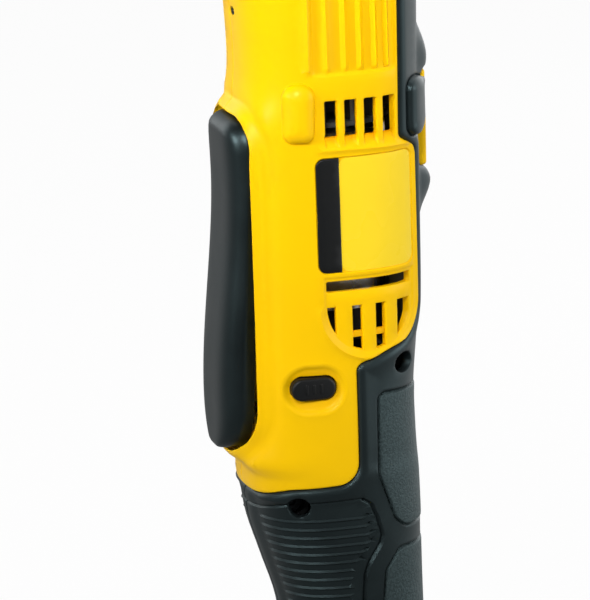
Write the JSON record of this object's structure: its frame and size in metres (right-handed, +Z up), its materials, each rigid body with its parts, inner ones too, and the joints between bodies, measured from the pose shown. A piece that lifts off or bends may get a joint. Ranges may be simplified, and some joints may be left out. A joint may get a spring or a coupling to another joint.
{
  "type": "right angle drill",
  "caption": "Battery right angle drill with a paddle switch, a two speed planetary gearbox, a bevel gear head and a keyless chuck.",
  "frame": {"origin": "on the motor's axis, in the plane of the battery's underside, where the tool stands", "axes": "+Z up the body along the motor's axis, -X the way the chuck points, Y across the tool"},
  "size_m": [0.1328, 0.075, 0.3612],
  "materials": {
    "yellow_shell": "moulded glass-filled nylon, satin",
    "grip_rubber": "soft overmoulded rubber, fine texture",
    "paddle_rubber": "moulded plastic, fine matt texture",
    "black_plastic": "moulded plastic, matt",
    "pack_plastic": "moulded plastic, fine texture",
    "latch_yellow": "moulded plastic",
    "head_metal": "die cast, dark coated",
    "bright_steel": "machined",
    "dark_steel": "black oxide",
    "gear_steel": "sintered and oiled",
    "copper": "enamelled and bare copper",
    "bronze": "sintered bronze",
    "magnet": "sintered ferrite",
    "fan_plastic": "moulded plastic",
    "lamp_lens": "clear moulded lens",
    "cell_wrap": "shrink sleeve"
  },
  "bodies": {
    "root": {"housing_left": "yellow_shell", "housing_right": "yellow_shell", "overmould_left": "grip_rubber", "overmould_right": "grip_rubber", "housing_screws": "dark_steel", "gear_case": "head_metal", "bearing_plate": "head_metal", "plate_screws": "bright_steel", "head_screws": "bright_steel", "gearbox_case": "black_plastic", "ring_gear_fixed": "gear_steel", "output_bearing": "bright_steel", "front_bearing": "bright_steel", "rear_bearing": "bright_steel", "paddle_pin": "bright_steel", "paddle_spring": "bright_steel", "switch_body": "black_plastic", "motor_can": "bright_steel", "motor_magnets": "magnet", "motor_end_bell": "black_plastic", "motor_bushes": "bronze", "motor_brushes": "magnet", "work_lamp": "lamp_lens", "terminal_block": "black_plastic", "terminal_blades": "copper"},
    "paddle": {"paddle": "paddle_rubber"},
    "plunger": {"switch_plunger": "fan_plastic"},
    "direction": {"direction_button": "black_plastic"},
    "shifter": {"speed_selector": "black_plastic", "shift_fork": "bright_steel", "ring_gear_shift": "gear_steel"},
    "spindle": {"spindle": "dark_steel", "bevel_gear": "gear_steel", "chuck_body": "dark_steel", "chuck_screw": "dark_steel"},
    "sleeve": {"chuck_sleeve": "black_plastic", "chuck_nut": "dark_steel"},
    "jaw_1": {"chuck_jaw_1": "dark_steel"},
    "jaw_2": {"chuck_jaw_2": "dark_steel"},
    "jaw_3": {"chuck_jaw_3": "dark_steel"},
    "output_carrier": {"carrier_second": "gear_steel", "bevel_pinion": "gear_steel"},
    "outer_planet_1": {"planet_second_1": "gear_steel"},
    "outer_planet_2": {"planet_second_2": "gear_steel"},
    "outer_planet_3": {"planet_second_3": "gear_steel"},
    "middle_carrier": {"carrier_first": "gear_steel"},
    "inner_planet_1": {"planet_first_1": "gear_steel"},
    "inner_planet_2": {"planet_first_2": "gear_steel"},
    "inner_planet_3": {"planet_first_3": "gear_steel"},
    "rotor": {"motor_shaft": "bright_steel", "motor_pinion": "gear_steel", "rotor_core": "dark_steel", "rotor_windings": "copper", "commutator": "copper", "cooling_fan": "fan_plastic"},
    "battery": {"battery_base": "pack_plastic", "battery_cover": "pack_plastic", "battery_cells": "cell_wrap", "battery_screws": "bright_steel"},
    "latch": {"battery_latch": "latch_yellow"}
  },
  "joints": [
    {"name": "paddle_squeeze", "type": "hinge", "parent": "root", "child": "paddle", "pos_m": [-0.0242, 0, 0.252], "axis": [0, -1, 0], "range_deg": [0, 3.1], "stiffness_Nm_per_rad": 6, "springref_deg": -1.72, "deforming": ["paddle_spring"]},
    {"name": "plunger_press", "type": "slide", "parent": "root", "child": "plunger", "axis": [1, 0, 0], "range_m": [0, 0.0048]},
    {"name": "direction_slide", "type": "slide", "parent": "root", "child": "direction", "axis": [0, 1, 0], "range_m": [-0.0025, 0.0025]},
    {"name": "speed_shift", "type": "slide", "parent": "root", "child": "shifter", "axis": [0, 0, -1], "range_m": [0, 0.0065]},
    {"name": "spindle_spin", "type": "hinge", "parent": "root", "child": "spindle", "pos_m": [0, 0, 0.34], "axis": [1, 0, 0], "continuous": true},
    {"name": "sleeve_turn", "type": "hinge", "parent": "spindle", "child": "sleeve", "pos_m": [0, 0, 0.34], "axis": [1, 0, 0], "range_deg": [-1150, 1400]},
    {"name": "jaw_1_slide", "type": "slide", "parent": "spindle", "child": "jaw_1", "axis": [-0.9659, -0.2588, 0], "range_m": [-0.0065, 0.0079]},
    {"name": "jaw_2_slide", "type": "slide", "parent": "spindle", "child": "jaw_2", "axis": [-0.9659, 0.1294, 0.2241], "range_m": [-0.0065, 0.0079]},
    {"name": "jaw_3_slide", "type": "slide", "parent": "spindle", "child": "jaw_3", "axis": [-0.9659, 0.1294, -0.2241], "range_m": [-0.0065, 0.0079]},
    {"name": "output_turn", "type": "hinge", "parent": "root", "child": "output_carrier", "pos_m": [0, 0, 0.3], "axis": [0, 0, 1], "continuous": true},
    {"name": "outer_planet_1_spin", "type": "hinge", "parent": "output_carrier", "child": "outer_planet_1", "pos_m": [0.0126, 0, 0.288], "axis": [0, 0, 1], "continuous": true},
    {"name": "outer_planet_2_spin", "type": "hinge", "parent": "output_carrier", "child": "outer_planet_2", "pos_m": [-0.0063, 0.01091, 0.288], "axis": [0, 0, 1], "continuous": true},
    {"name": "outer_planet_3_spin", "type": "hinge", "parent": "output_carrier", "child": "outer_planet_3", "pos_m": [-0.0063, -0.01091, 0.288], "axis": [0, 0, 1], "continuous": true},
    {"name": "middle_turn", "type": "hinge", "parent": "root", "child": "middle_carrier", "pos_m": [0, 0, 0.28], "axis": [0, 0, 1], "continuous": true},
    {"name": "inner_planet_1_spin", "type": "hinge", "parent": "middle_carrier", "child": "inner_planet_1", "pos_m": [0.0105, 0, 0.272], "axis": [0, 0, 1], "continuous": true},
    {"name": "inner_planet_2_spin", "type": "hinge", "parent": "middle_carrier", "child": "inner_planet_2", "pos_m": [-0.00525, 0.00909, 0.272], "axis": [0, 0, 1], "continuous": true},
    {"name": "inner_planet_3_spin", "type": "hinge", "parent": "middle_carrier", "child": "inner_planet_3", "pos_m": [-0.00525, -0.00909, 0.272], "axis": [0, 0, 1], "continuous": true},
    {"name": "motor_spin", "type": "hinge", "parent": "root", "child": "rotor", "pos_m": [0, 0, 0.22], "axis": [0, 0, 1], "continuous": true},
    {"name": "battery_slide", "type": "slide", "parent": "root", "child": "battery", "axis": [-1, 0, 0], "range_m": [0, 0.09]},
    {"name": "latch_press", "type": "slide", "parent": "battery", "child": "latch", "axis": [0, 0, -1], "range_m": [0, 0.004], "stiffness_N_per_m": 900, "springref_m": -0.002}
  ],
  "couplings": [
    {"joint": "plunger_press", "follows": "paddle_squeeze", "m_per_rad": 0.084},
    {"joint": "jaw_1_slide", "follows": "sleeve_turn", "m_per_rad": 0.00031831},
    {"joint": "jaw_2_slide", "follows": "sleeve_turn", "m_per_rad": 0.00031831},
    {"joint": "jaw_3_slide", "follows": "sleeve_turn", "m_per_rad": 0.00031831},
    {"joint": "output_turn", "follows": "spindle_spin", "ratio": -2},
    {"joint": "outer_planet_1_spin", "follows": "spindle_spin", "ratio": 8},
    {"joint": "outer_planet_2_spin", "follows": "spindle_spin", "ratio": 8},
    {"joint": "outer_planet_3_spin", "follows": "spindle_spin", "ratio": 8},
    {"joint": "middle_turn", "follows": "spindle_spin", "ratio": -6},
    {"joint": "inner_planet_1_spin", "follows": "spindle_spin", "ratio": 16},
    {"joint": "inner_planet_2_spin", "follows": "spindle_spin", "ratio": 16},
    {"joint": "inner_planet_3_spin", "follows": "spindle_spin", "ratio": 16},
    {"joint": "motor_spin", "follows": "spindle_spin", "ratio": -30}
  ]
}
